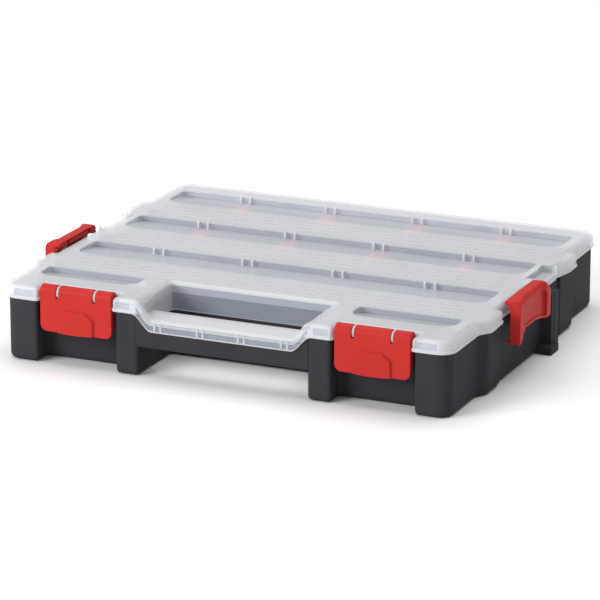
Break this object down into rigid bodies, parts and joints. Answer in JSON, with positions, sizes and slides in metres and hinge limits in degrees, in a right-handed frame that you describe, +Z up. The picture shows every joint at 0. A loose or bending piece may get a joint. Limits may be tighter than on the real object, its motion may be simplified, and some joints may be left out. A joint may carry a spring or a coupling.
{
  "type": "parts organizer",
  "caption": "Flat stackable parts organizer: black tray with a frosted hinged lid, carry handle, red front and side latches, and removable dividers.",
  "frame": {"origin": "on the floor under the middle of the tray, half way between its side walls and between its handle face and its hinge wall", "axes": "+X to the right as seen from the handle, +Y towards the hinge, +Z up"},
  "size_m": [0.44, 0.3612, 0.07],
  "materials": {
    "black_plastic": "fine moulded texture",
    "clear_plastic": "frosted translucent polypropylene",
    "red_plastic": "satin",
    "divider_plastic": "satin",
    "steel": "bright wire"
  },
  "bodies": {
    "tray": {"base_tray": "black_plastic", "hinge_pin_left": "steel", "hinge_pin_right": "steel", "divider_middle_1": "divider_plastic", "divider_middle_2": "divider_plastic", "divider_middle_3": "divider_plastic", "divider_middle_4": "divider_plastic", "divider_rear_1": "divider_plastic", "divider_rear_2": "divider_plastic", "divider_rear_3": "divider_plastic", "divider_rear_4": "divider_plastic"},
    "lid": {"lid": "clear_plastic", "front_latch_pin_left": "steel", "front_latch_pin_right": "steel", "side_latch_pin_left": "steel", "side_latch_pin_right": "steel"},
    "front_latch_left": {"front_latch_left": "red_plastic"},
    "front_latch_right": {"front_latch_right": "red_plastic"},
    "side_latch_left": {"side_latch_left": "red_plastic"},
    "side_latch_right": {"side_latch_right": "red_plastic"}
  },
  "joints": [
    {"name": "lid_hinge", "type": "hinge", "parent": "tray", "child": "lid", "pos_m": [0, 0.18, 0.052], "axis": [-1, 0, 0], "range_deg": [0, 110]},
    {"name": "front_latch_left_hinge", "type": "hinge", "parent": "lid", "child": "front_latch_left", "pos_m": [-0.1335, -0.1682, 0.0623], "axis": [-1, 0, 0], "range_deg": [0, 100]},
    {"name": "front_latch_right_hinge", "type": "hinge", "parent": "lid", "child": "front_latch_right", "pos_m": [0.1335, -0.1682, 0.0623], "axis": [-1, 0, 0], "range_deg": [0, 100]},
    {"name": "side_latch_left_hinge", "type": "hinge", "parent": "lid", "child": "side_latch_left", "pos_m": [-0.2102, -0.0275, 0.064], "axis": [0, 1, 0], "range_deg": [0, 90]},
    {"name": "side_latch_right_hinge", "type": "hinge", "parent": "lid", "child": "side_latch_right", "pos_m": [0.2102, -0.0275, 0.064], "axis": [0, -1, 0], "range_deg": [0, 90]}
  ]
}
